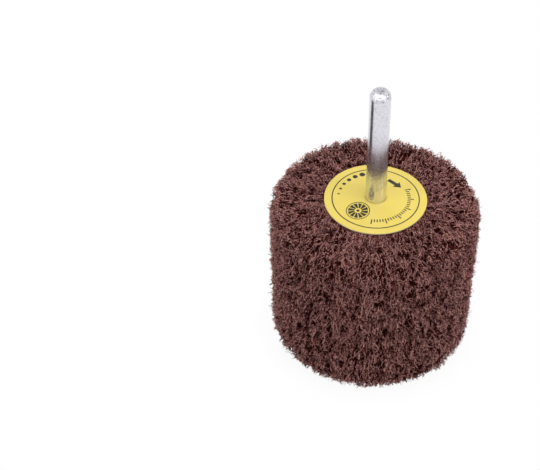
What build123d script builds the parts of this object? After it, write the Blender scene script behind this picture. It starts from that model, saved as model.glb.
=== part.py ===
from build123d import *
from math import cos, radians, sin, tan
import os

# Mounted nonwoven wheel: web flaps packed round a cast resin core on a steel spindle.
# Millimetres, +Z along the spindle to its free end, origin in the middle of the back face.

# Wheel envelope
wheel_diameter = 60.0
wheel_width = 50.0
back_draw_in = 1.1
front_corner_radius = 4.7
back_corner_radius = 4.7

# Flaps
flap_count = 24
flap_gap = 0.1
flap_edge_radius = 1.3
flap_edge_wall_share = 0.8

# Flap roots, pinched between the fins of the core
root_diameter = 21.6
root_nose_depth = 0.7
fin_length = 3.2
fin_root_width = 1.1
fin_tip_width = 0.4
pinch_length = 1.4
root_clearance = 0.05

# Cast resin core
core_back_recess = 0.4

# Spindle
shank_diameter = 6.0
shank_length = 40.5
spindle_tail_cover = 7.0
tail_chamfer = 0.5
flat_length = 6.0
flat_depth = 0.4
groove_count = 3
groove_width = 2.0
groove_depth = 0.5
neck_width = 2.0
neck_rise = 0.2
bond_clearance = 0.03

# Label disc on the front face, wide enough to cover the core
label_overlap = 0.7
label_thickness = 0.35
label_hole_clearance = 0.15
label_glue_gap = 0.05

# Radii and heights worked out from the sizes above
wheel_radius = wheel_diameter / 2
back_radius = wheel_radius - back_draw_in
root_radius = root_diameter / 2
fin_radius = root_radius + fin_length
label_radius = fin_radius + label_overlap
shank_radius = shank_diameter / 2
half_pitch = 180.0 / flap_count
label_bottom = wheel_width + label_glue_gap
neck_top = label_bottom + neck_rise
spindle_top = wheel_width + shank_length


def wheel_envelope():
    """The dressed wheel as one round body: drawn in towards the back, both rims rounded."""
    flare = (wheel_radius - back_radius) / (wheel_width - front_corner_radius)
    front_corner = (back_radius + flare * wheel_width, 0, wheel_width)
    back_corner = (back_radius, 0, 0)
    face = make_face(Polyline((0, 0, 0), back_corner, front_corner, (0, 0, wheel_width), close=True))
    for corner, radius in ((back_corner, back_corner_radius), (front_corner, front_corner_radius)):
        face = fillet(face.vertices().sort_by_distance(corner)[0], radius)
    return revolve(face, Axis.Z, 360)


def side_line(x, standoff):
    """Half width at x of a flap whose side stands off the radial plane between two flaps."""
    return x * tan(radians(half_pitch)) - standoff / cos(radians(half_pitch))


def flap_plan(grow=0.0):
    """Plan of one flap along +X, from its rounded nose to past the rim, grown all round."""
    reach = wheel_radius + 1.0
    nose_x = root_radius + root_nose_depth
    fin_x = fin_radius * cos(radians(half_pitch))
    full_x = fin_x + pinch_length
    nose_y = side_line(nose_x, fin_root_width / 2) + grow
    fin_y = side_line(fin_x, fin_tip_width / 2) + grow
    full_y = side_line(full_x, flap_gap / 2) + grow
    reach_y = side_line(reach, flap_gap / 2) + grow
    sides = [
        Polyline((nose_x, nose_y), (fin_x, fin_y), (full_x, full_y), (reach, reach_y)),
        Line((reach, reach_y), (reach, -reach_y)),
        Polyline((reach, -reach_y), (full_x, -full_y), (fin_x, -fin_y), (nose_x, -nose_y)),
        ThreePointArc((nose_x, -nose_y), (root_radius - grow, 0), (nose_x, nose_y)),
    ]
    return make_face(Curve() + sides)


def flap(envelope):
    """One flap of web: pinched root, full radial sides, outer edges rounded by dressing."""
    body = extrude(flap_plan(), wheel_width) & envelope
    outer_edges = body.edges().filter_by(is_outer_edge)
    # the rounds run out on the pinched root, so its half width there limits their radius
    root_half_width = side_line(fin_radius * cos(radians(half_pitch)), fin_tip_width / 2)
    return fillet(outer_edges, min(flap_edge_radius, flap_edge_wall_share * root_half_width))


def is_outer_edge(edge):
    """True for the long edges that run round a flap's side between the rims."""
    middle = edge.position_at(0.5)
    beside = abs(middle.Y) > side_line(middle.X, flap_gap / 2) - 0.01
    return beside and middle.X > fin_radius + pinch_length


def band_cut(width, middle, grow):
    """Ring that turns the spindle down to a groove's waist, narrower where all is grown."""
    ring_width = width - 2 * grow
    band = Cylinder(shank_radius + groove_depth, ring_width)
    waist = Cylinder(shank_radius - groove_depth + grow, ring_width)
    return Pos(0, 0, middle) * (band - waist)


def spindle_anchor(grow=0.0):
    """The bonded end of the spindle, grown all round: four flats, grooves and a neck on top."""
    tail = spindle_tail_cover
    flats_top = tail + flat_length
    groove_pitch = (neck_top - neck_width - flats_top) / (groove_count + 1)
    radius = shank_radius + grow
    body = Pos(0, 0, tail - grow) * Cylinder(
        radius, neck_top - tail + grow, align=(Align.CENTER, Align.CENTER, Align.MIN)
    )
    body = chamfer(body.edges().sort_by(Axis.Z)[0], tail_chamfer)
    for index in range(groove_count):
        body -= band_cut(groove_width, flats_top + groove_pitch * (index + 1), grow)
    body -= band_cut(neck_width + 2 * grow, neck_top - neck_width / 2 + grow, grow)
    slab = Box(
        radius, 3 * radius, flat_length + grow, align=(Align.MIN, Align.CENTER, Align.MIN)
    )
    slab = Pos(shank_radius - flat_depth + grow, 0, tail - 2 * grow) * slab
    for turn in range(4):
        body -= Rot(0, 0, 90 * turn) * slab
    return body


def spindle():
    """Round steel spindle: bonded end up to the label, bare shank with a full dome above."""
    straight_top = spindle_top - shank_radius
    lean = shank_radius * sin(radians(45))
    outline = [
        Line((0, 0, spindle_top), (0, 0, neck_top)),
        Line((0, 0, neck_top), (shank_radius, 0, neck_top)),
        Line((shank_radius, 0, neck_top), (shank_radius, 0, straight_top)),
        ThreePointArc(
            (shank_radius, 0, straight_top), (lean, 0, straight_top + lean), (0, 0, spindle_top)
        ),
    ]
    return spindle_anchor() + revolve(make_face(Curve() + outline), Axis.Z, 360)


def resin_core():
    """Cast core: a cylinder whose rim has crept between the flap roots as tapered fins."""
    height = wheel_width - core_back_recess
    body = Pos(0, 0, core_back_recess) * Cylinder(
        fin_radius, height, align=(Align.CENTER, Align.CENTER, Align.MIN)
    )
    pocket = extrude(flap_plan(root_clearance), wheel_width + 1.0)
    for index in range(flap_count):
        body -= Rot(0, 0, 2 * half_pitch * index) * pocket
    return body - spindle_anchor(bond_clearance)


def label_disc():
    """Round label with a hole for the spindle, glued to the front face."""
    hole_radius = shank_radius + label_hole_clearance
    disc = Cylinder(label_radius, label_thickness) - Cylinder(hole_radius, label_thickness)
    return Pos(0, 0, label_bottom + label_thickness / 2) * disc


os.makedirs("parts", exist_ok=True)
export_step(spindle(), "parts/spindle.step")
export_step(resin_core(), "parts/resin_core.step")
export_step(label_disc(), "parts/label_disc.step")
first_flap = flap(wheel_envelope())
for index in range(flap_count):
    turned = Rot(0, 0, 2 * half_pitch * index) * first_flap
    export_step(turned, f"parts/flap_{index + 1:02d}.step")
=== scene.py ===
# Mounted nonwoven wheel: open web flaps round a resin core, a yellow label and a steel spindle.
# Lengths in the dictionaries are millimetres; meshes turn into metres when they are made.
# Turns are degrees unless a note says radians. A noise entry holds the scale per metre, the
# detail and, where it isn't 0.5, the roughness; a finish entry holds roughness and specular.
from math import cos, pi, radians, sin

import bpy
import numpy as np
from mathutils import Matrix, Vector


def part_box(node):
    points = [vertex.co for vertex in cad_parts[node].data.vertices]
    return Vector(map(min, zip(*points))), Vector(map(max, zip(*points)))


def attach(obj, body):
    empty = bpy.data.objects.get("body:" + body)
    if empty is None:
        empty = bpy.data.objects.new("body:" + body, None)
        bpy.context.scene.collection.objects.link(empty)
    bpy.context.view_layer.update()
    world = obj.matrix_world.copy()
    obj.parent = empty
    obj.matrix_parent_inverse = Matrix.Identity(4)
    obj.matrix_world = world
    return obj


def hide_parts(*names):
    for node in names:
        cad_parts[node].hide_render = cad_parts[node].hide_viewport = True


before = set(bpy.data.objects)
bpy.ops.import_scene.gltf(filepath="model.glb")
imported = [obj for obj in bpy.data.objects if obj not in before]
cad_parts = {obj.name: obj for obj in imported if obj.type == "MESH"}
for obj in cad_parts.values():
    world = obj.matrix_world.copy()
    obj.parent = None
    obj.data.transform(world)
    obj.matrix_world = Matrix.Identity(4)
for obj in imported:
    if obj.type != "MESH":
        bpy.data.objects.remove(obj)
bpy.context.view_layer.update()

mm = 0.001

# Places that come from the frame
flapNodes = sorted(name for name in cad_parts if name.startswith("flap_"))
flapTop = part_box("flap_01")[1] / mm
labelLow, labelHigh = [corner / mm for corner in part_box("label_disc")]
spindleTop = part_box("spindle")[1] / mm
rimRadius = flapTop.x
wheelWidth = flapTop.z
labelRadius = labelHigh.x
shankRadius = spindleTop.x
halfPitch = pi / len(flapNodes)  # radians

# The round form that the flaps are dressed to
wheelForm = {
    "backDrawIn": 1.1,
    "frontCorner": 4.7,
    "backCorner": 4.7,
}


def rimAt(z):
    # rim radius at a height: the wheel draws in towards its back face
    straight = wheelWidth - wheelForm["frontCorner"]
    flare = wheelForm["backDrawIn"] / straight
    return rimRadius - wheelForm["backDrawIn"] + flare * np.minimum(z, straight)


def depthUnder(r, z):
    # distance below the dressed surface, negative outside it
    side = r - rimAt(z)
    out = np.maximum(np.maximum(side, z - wheelWidth), -z)
    front = (wheelForm["frontCorner"], 1, wheelWidth)
    back = (wheelForm["backCorner"], -1, 0.0)
    for corner, sign, face in (front, back):
        dr = side + corner
        dz = sign * (z - face) + corner
        inCorner = (dr > 0) & (dz > 0)
        out = np.where(inCorner, np.hypot(dr, dz) - corner, out)
    return -out


def radiusOf(points):
    return np.hypot(points[..., 0], points[..., 1])


def depthOf(points):
    return depthUnder(radiusOf(points), points[..., 2])


def addObject(name, data):
    item = bpy.data.objects.new(name, data)
    bpy.context.scene.collection.objects.link(item)
    return item


def makeMesh(name, points, quads, triangles=(), tones=None, corners=None):
    # quads and triangles are arrays of vertex numbers
    # corners holds a place on the bake's map for each face corner
    quads = np.asarray(quads, np.int32).reshape(-1, 4)
    triangles = np.asarray(triangles, np.int32).reshape(-1, 3)
    quadStarts = np.arange(len(quads)) * 4
    triangleStarts = quads.size + np.arange(len(triangles)) * 3
    starts = np.concatenate([quadStarts, triangleStarts])
    mesh = bpy.data.meshes.new(name)
    mesh.vertices.add(len(points))
    mesh.vertices.foreach_set("co", (np.asarray(points) * mm).astype(np.float32).ravel())
    mesh.loops.add(quads.size + triangles.size)
    mesh.loops.foreach_set("vertex_index", np.concatenate([quads.ravel(), triangles.ravel()]))
    mesh.polygons.add(len(starts))
    mesh.polygons.foreach_set("loop_start", starts.astype(np.int32))
    mesh.polygons.foreach_set("use_smooth", np.ones(len(starts), bool))
    if tones is not None:
        toneAndShade = mesh.attributes.new("toneAndShade", "FLOAT", "POINT")
        toneAndShade.data.foreach_set("value", tones.astype(np.float32))
    if corners is not None:
        bakeMap = mesh.uv_layers.new(name="OFBake")
        bakeMap.uv.foreach_set("vector", corners.astype(np.float32).ravel())
    mesh.update(calc_edges=True)
    return addObject(name, mesh)


def newMaterial(name, base, rough, specular=0.5, metallic=0.0):
    material = bpy.data.materials.new(name)
    material.use_nodes = True
    shader = material.node_tree.nodes["Principled BSDF"]
    shader.inputs["Base Color"].default_value = (*base, 1)
    shader.inputs["Roughness"].default_value = rough
    shader.inputs["Specular IOR Level"].default_value = specular
    shader.inputs["Metallic"].default_value = metallic
    return material, shader


def join(owner, source, target):
    # source is another node's socket, or a plain value
    if isinstance(source, bpy.types.NodeSocket):
        owner.node_tree.links.new(source, target)
    else:
        target.default_value = source


def addNode(owner, kind, *sources, **settings):
    # owner is a material or the world; settings name properties or inputs of the node,
    # and sources fill its first inputs in turn
    node = owner.node_tree.nodes.new(kind)
    for key, value in settings.items():
        if hasattr(node, key):
            setattr(node, key, value)
        else:
            join(owner, value, node.inputs[key])
    for source, target in zip(sources, node.inputs):
        join(owner, source, target)
    return node


def placeOf(owner, kind="Object"):
    return addNode(owner, "ShaderNodeTexCoord").outputs[kind]


def noise(owner, place, scale, detail, rough=0.5):
    node = addNode(owner, "ShaderNodeTexNoise", Scale=scale, Detail=detail, Roughness=rough)
    join(owner, place, node.inputs["Vector"])
    return node.outputs["Fac"]


def mapRange(owner, value, span, result):
    node = addNode(owner, "ShaderNodeMapRange")
    join(owner, value, node.inputs["Value"])
    for socket, number in zip(("From Min", "From Max", "To Min", "To Max"), (*span, *result)):
        node.inputs[socket].default_value = number
    return node.outputs["Result"]


def calculate(owner, operation, *values):
    return addNode(owner, "ShaderNodeMath", *values, operation=operation).outputs[0]


def mixColours(owner, way, share, first, second):
    node = addNode(owner, "ShaderNodeMixRGB", share, first, second, blend_type=way)
    return node.outputs["Color"]


def bump(owner, height, strength, depth):
    # depth is in millimetres
    return addNode(owner, "ShaderNodeBump", Height=height, Strength=strength, Distance=depth * mm)


def colourRamp(owner, factor, stops):
    ramp = addNode(owner, "ShaderNodeValToRGB", factor)
    elements = ramp.color_ramp.elements
    while len(elements) < len(stops):
        elements.new(0.5)
    for element, (place, colour) in zip(elements, stops):
        element.position = place
        element.color = (*colour, 1)
    return ramp.outputs["Color"]


def scaled(values, factor):
    return [value * factor for value in values]


# Camera: the photograph's own view, from 43 degrees above
shot = {
    "lens": 133.15,
    "sensor": 36.0,
    "nearest": 10.0,  # the view is clipped closer than this
    "place": (0.0, -423.4, 433.0),
    "lookDown": 43.22,
    "turn": 4.08,
}
camera = addObject("Camera", bpy.data.cameras.new("Camera"))
camera.data.lens = shot["lens"]
camera.data.sensor_width = shot["sensor"]
camera.data.clip_start = shot["nearest"] * mm
camera.location = Vector(shot["place"]) * mm
camera.rotation_euler = (radians(90 - shot["lookDown"]), 0, radians(shot["turn"]))
bpy.context.scene.camera = camera
print("camera set")


# Flaps: a dense wedge, dark with painted shade, under a shell of coarse curled strands, with cut
# ends standing out
web = {
    "seed": 57,
    "seedStep": 100,  # from one flap to the next
    "strands": 2300,  # started in each flap, before they are trimmed
    "tries": 30,  # places drawn for each one that is needed
    "shell": 2.6,  # depth that the strands start in
    "shellFade": (0.6, 1.0),  # share of that depth, so that it has no hard floor
    "length": (1.7, 4.0),
    "radius": (0.062, 0.125),
    "lump": 0.35,  # spread of the radius along one strand
    "lumpLimits": (0.55, 1.9),
    "endTaper": 0.6,  # share of the radius at both ends
    "sides": 3,
    "segments": 6,
    "stepsEach": 3,  # steps drawn for each segment that is kept
    "fewestSteps": 4,  # shorter pieces fall out
    "alongSurface": 0.8,  # share that lies along the surface
    # how the strands lean and curl, in radians
    "leanTilt": (0.6, 0.35),  # at the rim and on the end faces
    "acrossTilt": 0.25,
    "bend": 0.08,
    "unrest": 0.09,  # new at each step
    "crimp": 0.22,
    "drift": 0.45,  # whole areas lean together
    "tiltHold": 0.9,  # share of the tilt that each step keeps
    "crimpAcross": 0.8,  # share of the crimp
    "crimpPitch": (1.4, 3.4),
    "driftSizes": (4, 10),
    "gather": 1.2,  # how far strands are drawn together round the openings
    "gatherWaves": 60,
    "openings": (0.8, 2.4),
    "openingForm": (1.0, 0.5, 0.55),  # narrow across the flap, longer the other two ways
    "ragged": 0.3,  # spread of the strands' ends at the surface
    "stray": (0.08, 1.7),  # share and reach of strands that stand out far
    "tufts": 0.38,  # rise and fall of the dressed surface
    "tuftSizes": (2.5, 7.0),
    "jointGroove": 1.0,  # flaps round off by this much towards their neighbours
    "jointSide": (0.6, 0.4),  # from this share of the half width, and over this much of it
    "jointRadius": (15.0, 11.0),  # from this radius outwards, and over this length
    "rootClear": 0.6,  # strands start this far out from the wedge's root
    "underRim": 1.2,  # and this far in under the label's rim
    "underLabel": 0.4,  # where they stay this far below the front face
    "rimClear": 0.3,  # gap round the label
    "footClear": 0.15,  # lowest height of a strand's middle line
    "floorGap": 0.01,  # lowest height of any point
}
# Cut ends: the same names mean the same as for the strands
cutEnd = {
    "count": 1400,
    "shell": 1.0,
    "length": (0.7, 1.8),
    "radius": (0.05, 0.10),
    "lean": 0.55,
    "segments": 3,
    "unrest": 0.1,
    "stray": (0.06, 1.0),
}
# The wedge, by its distance from the dressed outline
wedgeForm = {
    "inset": 2.0,  # below the rim and the front face
    "under": (1.0, 1.8),  # above the back face, and the corner there
    "root": 10.95,  # innermost radius
    "rootEnds": (0.8, 0.6),  # from the back and the front face
    "collar": 3.0,  # length over which the root's ends hold
    "slope": 5.5,  # length after which the inset holds
    "pinch": ((10.9, 0.45), (11.5, 0.62), (13.9, 0.88), (15.3, 0.97)),  # share of width by radius
    "cornerPoints": 7,
    "outlinePoints": 90,
    "layers": 9,
    "smooth": 4.0,  # the first part from the root stays even
    "smoothFade": 2.0,
    "rough": (0.4, 0.35),  # outwards and along the axis
}
# How light a strand is, before its grit, with painted shade that deepens below the surface: 0 is
# the darkest of the web's dyes, 1 the lightest
webTones = {
    "middle": 1.32,
    "spread": 0.75,
    # painted shade on the wedge, lowering its tone below the strands'
    "wedgeShade": 0.1,
    "patches": 0.08,
    "patchSizes": (5, 14),
    "deep": (0.3, 0.65, 0.28),  # painted shade with depth: fall for each millimetre, quick first drop and its reach
    "deepLimits": (-1, 4),
    "limits": (0.02, 1),
}
# Where the parts of a flap lie on the bake's map, in shares of the map or of a strand's cell
mapForm = {
    "bands": ((0.0, 0.70), (0.70, 0.18), (0.89, 0.11)),  # strands, cut ends and wedge
    "strandSides": (0.9, 0.82),
    "strandEnd": ((0.0, 0.84), (0.4, 0.84), (0.2, 0.98)),
    "otherEnd": 0.45,  # the second end lies beside the first
    "wedgeLayers": 0.7,
    "wedgeSide": ((0.1, 0.75), (0.9, 0.75), (0.5, 0.98)),
}


def swell(points, sizes, seed, waves=12):
    # smooth random field, about -2 to 2, with swells of the given sizes
    rng = np.random.default_rng(seed)
    steps = rng.normal(size=(waves, 3))
    steps /= np.linalg.norm(steps, axis=1, keepdims=True)
    steps *= 2 * pi / np.exp(rng.uniform(*np.log(sizes), (waves, 1)))
    phase = rng.uniform(0, 2 * pi, waves)
    return np.sin(points @ steps.T + phase).sum(-1) * np.sqrt(2 / waves)


def gathered(points, seed):
    # draws strands together so that deep narrow pores stay between them
    rng = np.random.default_rng(seed)
    waves = web["gatherWaves"]
    steps = rng.normal(size=(waves, 3)) * web["openingForm"]
    steps /= np.linalg.norm(steps, axis=1, keepdims=True)
    size = np.exp(rng.uniform(*np.log(web["openings"]), (waves, 1)))
    phase = rng.uniform(0, 2 * pi, waves)
    push = np.sin(points @ (steps * 2 * pi / size).T + phase) @ (steps * size)
    return points + web["gather"] * push * np.sqrt(2.0 / waves) / (2 * pi)


def tuftsAt(points, seed):
    # the dressed surface is tufty
    return web["tufts"] * swell(points, web["tuftSizes"], seed + 3)


def standOut(rng, count, stray):
    # how far each strand may stand out of the surface: most a little, a few far
    share, reach = stray
    stand = np.abs(rng.normal(0, web["ragged"], count))
    return stand + (rng.uniform(size=count) < share) * rng.uniform(0, reach, count)


def placesInShell(rng, count, shell):
    # radius and height of random places under the dressed surface
    tries = count * web["tries"]
    innermost = wedgeForm["root"] + web["rootClear"]
    r = np.sqrt(rng.uniform(innermost**2, rimRadius**2, tries))
    z = rng.uniform(0, wheelWidth, tries)
    deep = depthUnder(r, z)
    keep = (deep > 0) & (deep < shell * rng.uniform(*web["shellFade"], tries))
    keep &= (r > labelRadius - web["underRim"]) | (z < wheelWidth / 2)
    return r[keep][:count], z[keep][:count]


def strandPaths(rng, count, seed):
    # centre lines in a flap's own frame: across the flap, outwards, along the axis
    r, z = placesInShell(rng, count, web["shell"])
    angle = rng.uniform(-halfPitch, halfPitch, count)
    # the dressed surface runs along the axis at the rim and outwards on the end faces
    towardsEnd = np.minimum(z, wheelWidth - z) < rimAt(z) - r
    along = np.where(towardsEnd, 0.0, pi / 2)
    inFace = rng.uniform(size=count) < web["alongSurface"]
    lie = np.where(inFace, along, along + pi / 2)
    rimTilt, endTilt = web["leanTilt"]
    lie += rng.normal(0, 1, count) * np.where(towardsEnd, endTilt, rimTilt)
    otherWay = rng.uniform(size=count) < 0.5
    lie += np.where(otherWay, 0, pi)
    tilt = rng.normal(0, web["acrossTilt"], count)
    length = rng.uniform(*web["length"], count)
    steps = web["segments"] * web["stepsEach"]
    path = np.zeros((count, steps + 1, 3))
    path[:, 0] = np.c_[r * np.sin(angle), r * np.cos(angle), z]
    lie += web["drift"] * swell(path[:, 0], web["driftSizes"], seed + 1)
    bend = rng.normal(0, web["bend"], count)
    pitch = rng.uniform(*web["crimpPitch"], (2, count))
    start = rng.uniform(0, 2 * pi, (2, count))
    for k in range(steps):
        gone = length * k / steps
        lie = lie + bend + rng.normal(0, web["unrest"], count)
        tilt = web["tiltHold"] * tilt + rng.normal(0, web["unrest"], count)
        curl = np.sin(2 * pi * gone / pitch[0] + start[0])
        curlAcross = np.sin(2 * pi * gone / pitch[1] + start[1])
        a = lie + web["crimp"] * curl
        b = tilt + web["crimpAcross"] * web["crimp"] * curlAcross
        go = np.c_[np.sin(b), np.cos(b) * np.cos(a), np.cos(b) * np.sin(a)]
        path[:, k + 1] = path[:, k] + go * (length / steps)[:, None]
    # the place drawn first becomes the strand's middle
    path += path[:, :1] - path[:, steps // 2 : steps // 2 + 1]
    return gathered(path.reshape(-1, 3), seed).reshape(path.shape)


def endPaths(rng, count, seed):
    # short cut ends that stand out of the surface
    r, z = placesInShell(rng, count, cutEnd["shell"])
    # the way out is where the depth falls fastest
    step = 0.01
    outwards = depthUnder(r - step, z) - depthUnder(r + step, z)
    upwards = depthUnder(r, z - step) - depthUnder(r, z + step)
    angle = rng.uniform(-halfPitch, halfPitch, count)
    start = np.c_[r * np.sin(angle), r * np.cos(angle), z]
    go = np.c_[np.zeros(count), outwards, upwards] / (2 * step)
    go = go + rng.normal(0, cutEnd["lean"], (count, 3))
    go *= (rng.uniform(*cutEnd["length"], count) / np.linalg.norm(go, axis=1))[:, None]
    segments = cutEnd["segments"]
    path = start[:, None] + go[:, None] * np.linspace(0, 1, segments + 1)[None, :, None]
    path[:, 1:] += np.cumsum(rng.normal(0, cutEnd["unrest"], (count, segments, 3)), axis=1)
    path = gathered(path.reshape(-1, 3), seed).reshape(path.shape)
    stand = standOut(rng, count, cutEnd["stray"]) - tuftsAt(path[:, -1], seed)
    keep = (depthOf(path[:, -1]) > -stand) & (path[:, :, 2].min(axis=1) > web["footClear"])
    clear = radiusOf(path).min(axis=1) >= labelRadius + web["rimClear"]
    keep &= clear | (z < wheelWidth / 2)
    return path[keep]


def trimmed(rng, path, seed):
    # cuts each centre line where it leaves the dressed surface,
    # and gives every one the same number of points
    count, points, _ = path.shape
    r, z = radiusOf(path), path[:, :, 2]
    side = np.abs(np.arctan2(path[:, :, 0], path[:, :, 1])) / halfPitch
    # flaps round off towards their neighbours, less so near the label
    sideFrom, sideOver = web["jointSide"]
    radiusFrom, radiusOver = web["jointRadius"]
    groove = web["jointGroove"] * np.clip(side - sideFrom, 0, sideOver) / sideOver
    groove = groove * np.clip((r - radiusFrom) / radiusOver, 0, 1)
    groove += tuftsAt(path, seed)
    stand = standOut(rng, count, web["stray"])
    ok = depthUnder(r, z) > (groove - stand[:, None])
    ok &= z > web["footClear"]
    ok &= (r > labelRadius + web["rimClear"]) | (z < wheelWidth - web["underLabel"])
    middle = points // 2
    forwards = ok[:, middle:]
    last = np.where(forwards.all(1), points - 1 - middle, forwards.argmin(1) - 1) + middle
    backwards = ok[:, : middle + 1][:, ::-1]
    first = middle - np.where(backwards.all(1), middle, backwards.argmin(1) - 1)
    keep = ok[:, middle] & (last - first >= web["fewestSteps"])
    path, first, last = path[keep], first[keep], last[keep]
    at = first[:, None] + (last - first)[:, None] * np.linspace(0, 1, web["segments"] + 1)
    low = np.minimum(at.astype(int), points - 2)
    part = (at - low)[:, :, None]
    rows = np.arange(len(path))[:, None]
    return path[rows, low] * (1 - part) + path[rows, low + 1] * part


def unrolled(rows, columns, wide, high):
    # places on the map for a grid of quads, within a part of its cell
    grid = np.zeros((rows, columns, 4, 2))
    grid[..., 0] = (np.arange(columns)[None, :, None] + (0, 1, 1, 0)) / columns * wide
    grid[..., 1] = (np.arange(rows)[:, None, None] + (0, 0, 1, 1)) / rows * high
    return grid


def tubes(rng, path, radius):
    # strands with lumps along them: points, quads and end triangles, and their map
    count, rings, _ = path.shape
    sides = web["sides"]
    nearNothing = 1e-9
    go = np.gradient(path, axis=1)
    go /= np.linalg.norm(go, axis=2, keepdims=True) + nearNothing
    lean = rng.normal(size=(count, 1, 3))
    across = np.cross(go, lean)
    across /= np.linalg.norm(across, axis=2, keepdims=True) + nearNothing
    other = np.cross(go, across)
    lumps = 1 + web["lump"] * rng.normal(size=(count, rings))
    wide = radius[:, None] * lumps.clip(*web["lumpLimits"])
    wide[:, [0, -1]] *= web["endTaper"]
    turn = np.arange(sides) * 2 * pi / sides
    ring = across[:, :, None] * np.cos(turn)[:, None] + other[:, :, None] * np.sin(turn)[:, None]
    points = path[:, :, None] + ring * wide[:, :, None, None]
    here = np.arange(count * rings * sides).reshape(count, rings, sides)
    after = np.roll(here, -1, axis=2)
    quads = np.stack([here[:, :-1], after[:, :-1], after[:, 1:], here[:, 1:]], -1).reshape(-1, 4)
    caps = np.concatenate([here[:, 0, ::-1], here[:, -1]]).reshape(-1, sides)
    # each strand has its own cell of the map: its sides unrolled, its two ends above them
    cells = int(np.ceil(np.sqrt(count)))
    cell = np.stack([np.arange(count) % cells, np.arange(count) // cells], -1) / cells
    grid = unrolled(rings - 1, sides, *mapForm["strandSides"])
    quadMap = cell[:, None, None, None] + grid[None] / cells
    ends = np.array([[[0.0, 0.0]], [[mapForm["otherEnd"], 0.0]]]) + mapForm["strandEnd"]
    capMap = cell[None, :, None] + ends[:, None] / cells
    return points.reshape(-1, 3), quads, caps, quadMap.reshape(-1, 2), capMap.reshape(-1, 2)


def wedgeOutline():
    # the dressed outline drawn in: back of the root, back corner, front corner, front of the root
    root, inset = wedgeForm["root"], wedgeForm["inset"]
    under, underCorner = wedgeForm["under"]
    backEnd, frontEnd = wedgeForm["rootEnds"]
    collar, slope = root + wedgeForm["collar"], root + wedgeForm["slope"]
    top, rootTop = wheelWidth - inset, wheelWidth - frontEnd
    quarter = np.linspace(0, 90, wedgeForm["cornerPoints"])
    ring = [(root, backEnd), (collar, backEnd), (slope, under)]
    for r, z, corner, start in (
        (rimAt(0.0) - inset, under, underCorner, -90),
        (rimRadius - inset, top, wheelForm["frontCorner"] - inset, 0),
    ):
        middle = np.array([r - corner, z + corner if start else z - corner])
        for turn in np.radians(start + quarter):
            ring.append(middle + corner * np.array([cos(turn), sin(turn)]))
    ring += [(slope, top), (collar, rootTop), (root, rootTop)]
    ring = np.array(ring)
    # even steps round it
    gaps = np.linalg.norm(np.roll(ring, -1, 0) - ring, axis=1)
    reach = np.concatenate([[0], np.cumsum(gaps)])
    at = np.linspace(0, reach[-1], wedgeForm["outlinePoints"], endpoint=False)
    closed = np.vstack([ring, ring[:1]])
    return np.stack([np.interp(at, reach, closed[:, k]) for k in (0, 1)], -1)


def wedge(rng):
    # dense inside of a flap: the outline repeated in layers across the flap
    outline = wedgeOutline()
    layers, count = wedgeForm["layers"], len(outline)
    roughOut, roughUp = wedgeForm["rough"]
    fromRoot = outline[:, 0] - wedgeForm["root"] - wedgeForm["smooth"]
    free = np.clip(fromRoot / wedgeForm["smoothFade"], 0, 1)
    r = outline[:, 0] + rng.normal(0, roughOut, (layers, count)) * free
    # the root narrows between the fins of the core
    narrow = np.interp(outline[:, 0], *zip(*wedgeForm["pinch"]))
    turn = np.linspace(-halfPitch, halfPitch, layers)[:, None] * narrow
    points = np.zeros((layers, count, 3))
    points[..., 0] = r * np.sin(turn)
    points[..., 1] = r * np.cos(turn)
    points[..., 2] = outline[:, 1] + rng.normal(0, roughUp, (layers, count)) * free
    number = np.arange(layers * count).reshape(layers, -1)
    beside = np.roll(number, -1, axis=1)
    quads = np.stack([number[:-1], beside[:-1], beside[1:], number[1:]], -1).reshape(-1, 4)
    # the two sides close as fans from a middle point
    points = points.reshape(-1, 3)
    middles = np.array([points[number[0]].mean(0), points[number[-1]].mean(0)])
    low, high = len(points), len(points) + 1
    fanLow = np.stack([np.full(count, low), beside[0], number[0]], -1)
    fanHigh = np.stack([np.full(count, high), number[-1], beside[-1]], -1)
    quadMap = unrolled(layers - 1, count, 1.0, mapForm["wedgeLayers"]).reshape(-1, 2)
    fanMap = np.tile(mapForm["wedgeSide"], (2 * count, 1))
    return np.vstack([points, middles]), quads, np.vstack([fanLow, fanHigh]), quadMap, fanMap


def toneAndShadeOf(rng, points, count, flapTone, seed):
    # strands differ, whole patches too; all get painted shade that grows with depth, and the wedge
    # more painted shade besides
    own = np.full(len(points), webTones["middle"] - webTones["wedgeShade"])
    if count:
        strandTones = rng.normal(webTones["middle"], webTones["spread"], count)
        own = np.repeat(strandTones, len(points) // count)
    slope, drop, reach = webTones["deep"]
    highest, deepest = webTones["deepLimits"]
    deep = depthOf(points).clip(highest, deepest)
    shade = slope * deep + drop * (1 - np.exp(-deep.clip(0, deepest) / reach))
    patch = webTones["patches"] * swell(points, webTones["patchSizes"], seed + 2)
    return (own + flapTone + patch - shade).clip(*webTones["limits"])


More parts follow.
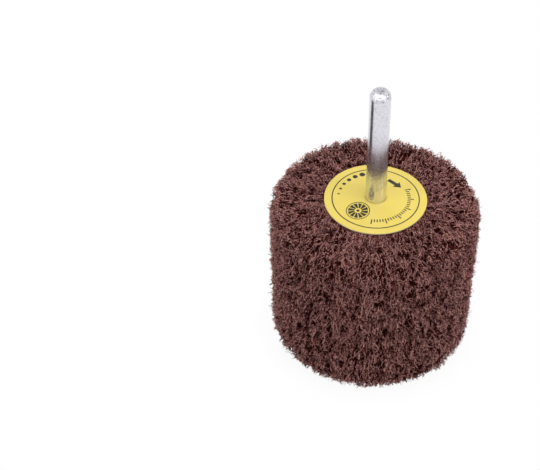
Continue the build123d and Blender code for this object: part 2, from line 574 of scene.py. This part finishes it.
def makeFlap(index, node, material):
    seed = web["seed"] + web["seedStep"] * index
    rng = np.random.default_rng(seed)
    strands = trimmed(rng, strandPaths(rng, web["strands"], seed), seed)
    ends = endPaths(rng, cutEnd["count"], seed)
    strandTubes = tubes(rng, strands, rng.uniform(*web["radius"], len(strands)))
    endTubes = tubes(rng, ends, rng.uniform(*cutEnd["radius"], len(ends)))
    parts = ((strandTubes, len(strands)), (endTubes, len(ends)), (wedge(rng), 0))
    flapTone = rng.normal(0, webTones["patches"])
    points, pointTones, quads, triangles, quadMaps, triangleMaps = [], [], [], [], [], []
    base = 0
    for (part, count), (low, high) in zip(parts, mapForm["bands"]):
        partPoints, partQuads, partTriangles, quadMap, triangleMap = part
        points.append(partPoints)
        pointTones.append(toneAndShadeOf(rng, partPoints, count, flapTone, seed))
        quads.append(partQuads + base)
        triangles.append(partTriangles + base)
        quadMaps.append(quadMap * (1, high) + (0, low))
        triangleMaps.append(triangleMap * (1, high) + (0, low))
        base += len(partPoints)
    points = np.vstack(points)
    points[:, 2] = np.maximum(points[:, 2], web["floorGap"])
    # from the flap's own frame to its place round the spindle
    turn = 2 * halfPitch * index
    x, y = points[:, 0].copy(), points[:, 1].copy()
    points[:, 0] = y * cos(turn) + x * sin(turn)
    points[:, 1] = y * sin(turn) - x * cos(turn)
    corners = np.vstack(quadMaps + triangleMaps)
    name = f"web_{node}"
    toneAndShade = np.concatenate(pointTones)
    piece = makeMesh(name, points, np.vstack(quads), np.vstack(triangles), toneAndShade, corners)
    piece.data.materials.append(material)
    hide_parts(node)
    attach(piece, "root")
    return len(piece.data.polygons)


# Dyes of the web, and the grit and clouds that break them up; the tone's painted depth shade leads
# to the dark end, and the paler, greyer light end is partly a painted sheen
webColours = {
    "dark": (0.018, 0.001, 0.001),
    "mid": (0.257, 0.061, 0.052),
    # partly a painted sheen: paler and greyer than the dye alone
    "light": (0.74, 0.394, 0.358),
    "finish": (0.7, 0.03),
    "grit": (3600.0, 1.0, 0.6),
    "gritSpan": (0.3, 0.7),
    "gritLift": (-1.4, 3.8),
    "cloud": (700.0, 2.0),
    "clouds": ((0.35, (1.0, 0.97, 0.87)), (0.65, (0.97, 0.95, 1.05))),  # browner, more mauve
}


def webMaterial():
    look = webColours
    material, shader = newMaterial("maroonWeb", look["mid"], *look["finish"])
    place = placeOf(material)
    toneAndShade = addNode(material, "ShaderNodeAttribute", attribute_name="toneAndShade")
    grit = noise(material, place, *look["grit"])
    lift = mapRange(material, grit, look["gritSpan"], look["gritLift"])
    both = calculate(material, "MULTIPLY", toneAndShade.outputs["Fac"], lift)
    stops = [(0.0, look["dark"]), (0.5, look["mid"]), (1.0, look["light"])]
    # the tone carries its painted depth shade into the dye, and the light end adds a painted sheen
    dyeShadeAndSheen = colourRamp(material, both, stops)
    cloud = noise(material, place, *look["cloud"])
    tint = colourRamp(material, cloud, look["clouds"])
    tintedDyeShadeAndSheen = mixColours(material, "MULTIPLY", 1.0, dyeShadeAndSheen, tint)
    join(material, tintedDyeShadeAndSheen, shader.inputs["Base Color"])
    return material


maroonWeb = webMaterial()
faceCount = 0
for index, node in enumerate(flapNodes):
    faceCount += makeFlap(index, node, maroonWeb)
print(f"{len(flapNodes)} flaps made, {faceCount} faces")


# Label: glossy yellow film with a pale cut edge
label = {
    "yellow": (0.88, 0.69, 0.138),
    "cloud": (160.0, 3.0),
    "clouds": ((0.35, 0.992), (0.65, 1.006)),  # share of the yellow
    "finish": (0.19, 0.5),
    "fine": (900.0, 2.0),
    "roughSpread": (-0.04, 0.05),
    "ripple": (0.05, 0.1),  # strength and depth
    "cutEdge": (0.90, 0.78, 0.42),
    "cutEdgeFinish": (0.6, 0.3),
    "edgeRound": 0.07,
    "edgeBulge": 0.3,  # share of the round that its middle stands in
    "edgeFoot": 0.02,
    "holeGap": 0.02,
    "flatFrom": (0.5, 1.0),  # from the rim, below and on top
    "rise": 1.1,
    "risePower": 1.5,
    "wave": 0.09,
    "lobes": ((2, 1.0, 1.1), (3, 0.5, -0.6)),  # number round the rim, share, start in radians
    "steps": 240,
    "rings": 10,
}


def labelWave(x, y):
    # the film is not quite flat: it climbs towards the spindle, and lifts and dips at its rim
    a = np.arctan2(y, x)
    out = np.hypot(x, y) / labelRadius
    climb = label["rise"] * (1 - np.minimum(out, 1)) ** label["risePower"]
    lobes = sum(share * np.cos(number * a + start) for number, share, start in label["lobes"])
    return climb + label["wave"] * out**2 * lobes


def lathe(name, profile, steps):
    # closed outline in radius and height, turned about the spindle's axis
    profile = np.asarray(profile, float)
    turns = np.arange(steps) * 2 * pi / steps
    points = np.zeros((steps, len(profile), 3))
    points[..., 0] = profile[:, 0] * np.cos(turns)[:, None]
    points[..., 1] = profile[:, 0] * np.sin(turns)[:, None]
    points[..., 2] = profile[:, 1] + labelWave(points[..., 0], points[..., 1])
    number = np.arange(steps * len(profile)).reshape(steps, -1)
    beside, after = np.roll(number, -1, 1), np.roll(number, -1, 0)
    both = np.roll(beside, -1, 0)
    quads = np.stack([number, after, both, beside], -1).reshape(-1, 4)
    return makeMesh(name, points.reshape(-1, 3), quads)


def yellowFilm():
    # faint cloudiness in the print, and a film that is not quite even
    material, shader = newMaterial("yellowFilm", label["yellow"], *label["finish"])
    place = placeOf(material)
    cloud = noise(material, place, *label["cloud"])
    stops = [(at, scaled(label["yellow"], share)) for at, share in label["clouds"]]
    join(material, colourRamp(material, cloud, stops), shader.inputs["Base Color"])
    fine = noise(material, place, *label["fine"])
    rough = [label["finish"][0] + more for more in label["roughSpread"]]
    join(material, mapRange(material, fine, (0.0, 1.0), rough), shader.inputs["Roughness"])
    ripple = bump(material, fine, *label["ripple"])
    join(material, ripple.outputs["Normal"], shader.inputs["Normal"])
    return material


def makeLabel():
    bottom, top, rim = labelLow.z, labelHigh.z, labelRadius
    hole = shankRadius + label["holeGap"]
    e, foot = label["edgeRound"], label["edgeFoot"]
    bulge = e * label["edgeBulge"]
    flatBelow, flatOnTop = label["flatFrom"]
    profile = [(hole, bottom), (rim - flatBelow, bottom), (rim - foot, bottom)]
    profile += [(rim, bottom + foot), (rim, top - e), (rim - bulge, top - bulge)]
    profile += [(rim - e, top), (rim - 2 * e, top)]
    profile += [(r, top) for r in np.linspace(rim - flatOnTop, hole + e, label["rings"])]
    profile += [(hole, top - e)]
    piece = lathe("label", profile, label["steps"])
    edge, _ = newMaterial("cutEdge", label["cutEdge"], *label["cutEdgeFinish"])
    piece.data.materials.append(yellowFilm())
    piece.data.materials.append(edge)
    # the sheet shows its pale inside where it is cut, under the printed face
    cutFaces = slice(1, 5)
    slots = np.zeros((label["steps"], len(profile)), np.int32)
    slots[:, cutFaces] = 1
    piece.data.polygons.foreach_set("material_index", slots.ravel())
    piece.data.polygons.foreach_set("use_smooth", (slots == 0).ravel())
    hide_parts("label_disc")
    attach(piece, "root")


makeLabel()
print("label made")


# Print on the label: a ring line, a turning arrow, a wheel mark, grade dots and a tick scale
ink = {
    "colour": (0.050, 0.044, 0.028),
    "finish": (0.5, 0.2),
    "wear": (2500.0, 2.0),
    "worn": (0.5, 0.75),
    "paler": 1.9,  # times the colour where the ink is worn
    "sink": 0.03,
    "stand": 0.02,
    "ringLine": (12.27, 12.60),
    "arrowTail": (3.4, 8.0),
    "arrowTip": (7.15, 4.9),
    "arrowShaft": 1.25,
    "arrowHead": (1.9, 3.0),  # length and width
    "wheelMark": (-4.8, -5.83),
    "wheelLine": (3.2, 3.43),
    "wheelBlades": (12, 1.0, 2.85, 23.0, 8.0),  # number, inner, outer, width and sweep
    "wheelDot": 0.45,
    "gradeDots": (6, 10.7, 174.0, 113.0, 0.3, 0.85),  # number, radius, turns, smallest, largest
    "ticks": (26, 9.1, 25.0, -95.0),  # number, radius, turns
    "tickForm": (1.0, 1.8, 0.32),  # short, tall, width
    "tallEvery": 5,
    "wheelBands": 12,
    "dotSteps": 28,
}
inkPoints, inkFaces = [], []


def inkShape(outline):
    # closed flat shape on the film, with a top, a bottom and sides
    start, count = len(inkPoints), len(outline)
    for level in (labelHigh.z - ink["sink"], labelHigh.z + ink["stand"]):
        for x, y in outline:
            inkPoints.append((x, y, level + labelWave(x, y)))
    low = list(range(start, start + count))
    high = [i + count for i in low]
    inkFaces.append(low[::-1])
    inkFaces.append(high)
    for a, b, c, d in zip(low, low[1:] + low[:1], high[1:] + high[:1], high):
        inkFaces.append([a, b, c, d])


def arc(radius, fromTurn, toTurn, steps, middle=(0, 0)):
    turns = np.radians(np.linspace(fromTurn, toTurn, steps + 1))
    return [(middle[0] + radius * cos(t), middle[1] + radius * sin(t)) for t in turns]


def inkBand(inner, outer, fromTurn, toTurn, steps, middle=(0, 0)):
    outerArc = arc(outer, fromTurn, toTurn, steps, middle)
    innerArc = arc(inner, toTurn, fromTurn, steps, middle)
    inkShape(outerArc + innerArc)


def inkRing(inner, outer, middle=(0, 0), bands=36, steps=3):
    # in short bands, because one face can't go round a hole
    for band in range(bands):
        inkBand(inner, outer, 360 * band / bands, 360 * (band + 1) / bands, steps, middle)


def inkDot(radius, middle):
    inkShape(arc(radius, 0, 360, ink["dotSteps"], middle)[:-1])


def inkArrow():
    tail, tip = Vector(ink["arrowTail"]), Vector(ink["arrowTip"])
    length, width = ink["arrowHead"]
    go = (tip - tail).normalized()
    side = Vector((-go.y, go.x))
    neck = tip - go * length
    shaft = side * ink["arrowShaft"] / 2
    barb = side * width / 2
    oneSide = [tail - shaft, neck - shaft, neck - barb]
    otherSide = [neck + barb, neck + shaft, tail + shaft]
    inkShape([tuple(corner) for corner in oneSide + [tip] + otherSide])


def inkWheel():
    middle = ink["wheelMark"]
    blades, inner, outer, wide, sweep = ink["wheelBlades"]
    inkRing(*ink["wheelLine"], middle, ink["wheelBands"])
    for blade in range(blades):
        lean = 360 / blades * blade
        root = arc(inner, lean, lean + wide, 2, middle)
        rim = arc(outer, lean + wide + sweep, lean + sweep, 3, middle)
        inkShape(root[::-1] + rim[::-1])
    inkDot(ink["wheelDot"], middle)


def inkDots():
    dots, radius, first, last, small, large = ink["gradeDots"]
    for share in np.linspace(0, 1, dots):
        turn = radians(first + (last - first) * share)
        inkDot(small + (large - small) * share, (radius * cos(turn), radius * sin(turn)))


def inkTicks():
    count, radius, first, last = ink["ticks"]
    short, tall, wide = ink["tickForm"]
    half = np.degrees(wide / radius) / 2
    for tick, turn in enumerate(np.linspace(first, last, count)):
        high = short if tick % ink["tallEvery"] else tall
        inkBand(radius, radius + high, turn - half, turn + half, 1)


def printInk():
    material, shader = newMaterial("printInk", ink["colour"], *ink["finish"])
    wear = noise(material, placeOf(material), *ink["wear"])
    full, worn = ink["worn"]
    stops = [(full, ink["colour"]), (worn, scaled(ink["colour"], ink["paler"]))]
    join(material, colourRamp(material, wear, stops), shader.inputs["Base Color"])
    return material


def makePrint():
    inkRing(*ink["ringLine"])
    inkArrow()
    inkWheel()
    inkDots()
    inkTicks()
    mesh = bpy.data.meshes.new("label_print")
    mesh.from_pydata([scaled(point, mm) for point in inkPoints], [], inkFaces)
    mesh.update()
    piece = addObject("label_print", mesh)
    piece.data.materials.append(printInk())
    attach(piece, "root")


makePrint()
print("label printed")


# Spindle and core keep their CAD shapes
steel = {
    "colour": (0.725, 0.72, 0.775),
    "pit": (0.34, 0.33, 0.35),
    "brightest": 1.06,  # times the colour
    "stops": (0.30, 0.42, 0.75),  # pit, colour and brightest
    "specular": 0.5,
    "bare": 0.93,  # share that shines as metal
    "grain": (3400.0, 3.0, 0.65),
    "stretch": (1, 1, 0.45),  # grains are longer along the axis
    "pits": (1.0, 0.03),  # strength and depth
    "smooth": 0.12,
    "frosted": 0.20,
    "patch": (2380.0, 3.0, 0.7),
    "patchSpan": (0.4, 0.6),
    # grainier colours of the dull zone, their bluish-lilac tint partly a painted reflection
    "dullGrainAndReflection": ((0.36, (0.54, 0.55, 0.61)), (0.48, (0.72, 0.74, 0.82)), (0.62, (0.82, 0.83, 0.90))),
    "dullRough": 0.04,
    "dullZone": (54.0, 68.0),  # heights
    "dullShare": ((0.1, 0.0), (0.3, 1.0), (0.75, 1.0), (1.0, 0.0)),
    "domeEdge": (-0.2, 0.8),  # from the dome's foot, where its own finish comes in
    "domeDents": 1.2,
    "dents": (1900.0, 3.0),
    "dentDepth": 0.2,
    "domeSpecks": ((0.36, (0.44, 0.44, 0.46)), (0.42, (0.93, 0.93, 0.93)), (0.47, (1.0, 1.0, 1.0))),
}
resin = {
    "colour": (0.040, 0.039, 0.044),
    "paler": 1.5,  # times the colour
    "speck": (0.30, 0.30, 0.34),
    "stops": (0.0, 0.85, 0.97),  # colour, paler and speck
    "finish": (0.55, 0.4),
    "grainScale": 1400.0,
    "coarse": (700.0, 3.0),
    "lumps": (0.5, 0.2),  # strength and depth
}


def groundSteel():
    # fine pits, a little longer along the axis, with frosted patches between smoother ones
    finish = (steel["smooth"], steel["specular"], steel["bare"])
    material, shader = newMaterial("groundSteel", steel["colour"], *finish)
    place = placeOf(material)
    height = addNode(material, "ShaderNodeSeparateXYZ", place).outputs["Z"]
    stretch = addNode(material, "ShaderNodeMapping", place, Scale=steel["stretch"])
    grainPlace = stretch.outputs["Vector"]
    grain = noise(material, grainPlace, *steel["grain"])
    colours = (steel["pit"], steel["colour"], scaled(steel["colour"], steel["brightest"]))
    ground = colourRamp(material, grain, list(zip(steel["stops"], colours)))
    # a zone above the wheel is duller and more grainy; its bluish-lilac colour there is partly a
    # painted reflection
    zone = mapRange(material, height, scaled(steel["dullZone"], mm), (0.0, 1.0))
    share = colourRamp(material, zone, [(at, (v, v, v)) for at, v in steel["dullShare"]])
    dullGrainAndReflection = colourRamp(material, grain, steel["dullGrainAndReflection"])
    # the ground grain, and in the zone the grain with its painted reflection
    worn = mixColours(material, "MIX", share, ground, dullGrainAndReflection)
    patch = noise(material, grainPlace, *steel["patch"])
    frost = mapRange(material, patch, steel["patchSpan"], (steel["smooth"], steel["frosted"]))
    rough = calculate(material, "MULTIPLY_ADD", share, steel["dullRough"], frost)
    join(material, rough, shader.inputs["Roughness"])
    pits = bump(material, grain, *steel["pits"])
    # the dome is ground by hand, so it is less even
    domeFoot = spindleTop.z - shankRadius
    edge = [(domeFoot + more) * mm for more in steel["domeEdge"]]
    onDome = mapRange(material, height, edge, (0.0, steel["domeDents"]))
    dents = noise(material, place, *steel["dents"])
    specks = colourRamp(material, dents, steel["domeSpecks"])
    specked = mixColours(material, "MULTIPLY", onDome, worn, specks)
    join(material, specked, shader.inputs["Base Color"])
    uneven = bump(material, dents, onDome, steel["dentDepth"])
    join(material, pits.outputs["Normal"], uneven.inputs["Normal"])
    join(material, uneven.outputs["Normal"], shader.inputs["Normal"])
    return material


def castResin():
    # dark filled resin with bright grains in it
    material, shader = newMaterial("castResin", resin["colour"], *resin["finish"])
    place = placeOf(material)
    cells = addNode(material, "ShaderNodeTexVoronoi", Vector=place, Scale=resin["grainScale"])
    split = addNode(material, "ShaderNodeSeparateColor", cells.outputs["Color"])
    colours = (resin["colour"], scaled(resin["colour"], resin["paler"]), resin["speck"])
    grains = colourRamp(material, split.outputs["Red"], list(zip(resin["stops"], colours)))
    join(material, grains, shader.inputs["Base Color"])
    coarse = noise(material, place, *resin["coarse"])
    lumps = bump(material, coarse, *resin["lumps"])
    join(material, lumps.outputs["Normal"], shader.inputs["Normal"])
    return material


def dress(node, material):
    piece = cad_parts[node]
    piece.data.materials.clear()
    piece.data.materials.append(material)


dress("spindle", groundSteel())
dress("resin_core", castResin())
print("spindle and core dressed")


# Studio: pale floor, a wide soft light in front with a narrow strip on each side of it,
# and weaker lights above and behind
studio = {
    "floor": 6000.0,
    "floorColour": (0.93, 0.93, 0.93),
    "matt": (0.9, 0.0),  # finish of the floor and the cards
    "whiteReach": (28.0, 36.0),  # distance from the axis
    "whiteShare": (0.93, 1.0),
    "world": 0.15,  # strength of its light on the wheel
    "overhead": (0.15, 0.75),  # upward part of the direction that the steel mirrors
    "overheadGrey": 0.6,
    # name, place, size, power, and whether the steel shows it
    "lamps": (
        ("frontWide", (60, -780, 930), (3400, 950), 11.3, True),
        ("frontLeft", (-960, -410, 800), (120, 600), 1.7, True),
        ("frontRight", (960, -410, 800), (120, 600), 1.7, True),
        ("topSoft", (200, 100, 1300), (800, 800), 6.6, False),
        ("backSoft", (-200, 1000, 700), (1600, 500), 4.2, False),
    ),
    "cardColour": (0.03, 0.025, 0.025),
    # a corner and the two sides from it
    "cards": (
        ((-190, -35, 8), (120, 0, 0), (0, 60, 0)),
        ((-250, -270, 15), (500, 0, 0), (0, -170, 0)),
        ((450, -10, -5), (0, 290, 100), (0, 0, 75)),
    ),
}


def makeFloor():
    half = studio["floor"] / 2
    corners = [(-half, -half, 0), (half, -half, 0), (half, half, 0), (-half, half, 0)]
    floor = makeMesh("floor", corners, [(0, 1, 2, 3)])
    material, shader = newMaterial("paleFloor", studio["floorColour"], *studio["matt"])
    # turns into plain white away from the wheel, so that only the contact shadow stays
    away = addNode(material, "ShaderNodeVectorMath", placeOf(material), operation="LENGTH")
    reach = scaled(studio["whiteReach"], mm)
    share = mapRange(material, away.outputs["Value"], reach, studio["whiteShare"])
    light = addNode(material, "ShaderNodeLightPath").outputs
    seen = calculate(material, "MAXIMUM", light["Is Camera Ray"], light["Is Glossy Ray"])
    glowShare = calculate(material, "MULTIPLY", seen, share)
    glow = addNode(material, "ShaderNodeEmission")
    mix = addNode(material, "ShaderNodeMixShader", glowShare, shader.outputs[0], glow.outputs[0])
    output = material.node_tree.nodes["Material Output"]
    join(material, mix.outputs[0], output.inputs["Surface"])
    floor.data.materials.append(material)


def makeCards():
    # dark cards out of sight: one draws the dark line down the steel, two show in its dome
    material, _ = newMaterial("darkPaper", studio["cardColour"], *studio["matt"])
    for number, (start, wide, high) in enumerate(studio["cards"]):
        start, wide, high = Vector(start), Vector(wide), Vector(high)
        corners = [start, start + wide, start + wide + high, start + high]
        card = makeMesh(f"darkCard{number}", [tuple(corner) for corner in corners], [(0, 1, 2, 3)])
        card.data.materials.append(material)
        card.visible_camera = False
        card.visible_diffuse = False
        card.visible_shadow = False


def makeLamps():
    middle = Vector((0, 0, wheelWidth / 2)) * mm
    for name, place, size, power, mirrored in studio["lamps"]:
        lamp = bpy.data.lights.new(name, "AREA")
        lamp.shape = "RECTANGLE"
        lamp.size, lamp.size_y = [side * mm for side in size]
        lamp.energy = power
        holder = addObject(name, lamp)
        holder.location = Vector(place) * mm
        holder.rotation_mode = "QUATERNION"
        holder.rotation_quaternion = (middle - holder.location).to_track_quat("-Z", "Y")
        holder.visible_camera = False
        holder.visible_glossy = mirrored


def makeWorld():
    world = bpy.data.worlds.new("studioWorld")
    bpy.context.scene.world = world
    world.use_nodes = True
    light = addNode(world, "ShaderNodeLightPath").outputs
    # what the steel mirrors is white round about and greyer overhead
    around = addNode(world, "ShaderNodeSeparateXYZ", placeOf(world, "Generated"))
    grey = (1.0, studio["overheadGrey"])
    overhead = mapRange(world, around.outputs["Z"], studio["overhead"], grey)
    mirrored = calculate(world, "MULTIPLY", light["Is Glossy Ray"], overhead)
    seen = calculate(world, "MAXIMUM", light["Is Camera Ray"], mirrored)
    strength = mapRange(world, seen, (0.0, 1.0), (studio["world"], 1.0))
    background = world.node_tree.nodes["Background"]
    background.inputs["Color"].default_value = (1, 1, 1, 1)
    join(world, strength, background.inputs["Strength"])


makeFloor()
makeCards()
makeLamps()
makeWorld()
bpy.context.scene.view_settings.view_transform = "Standard"
print("studio set")
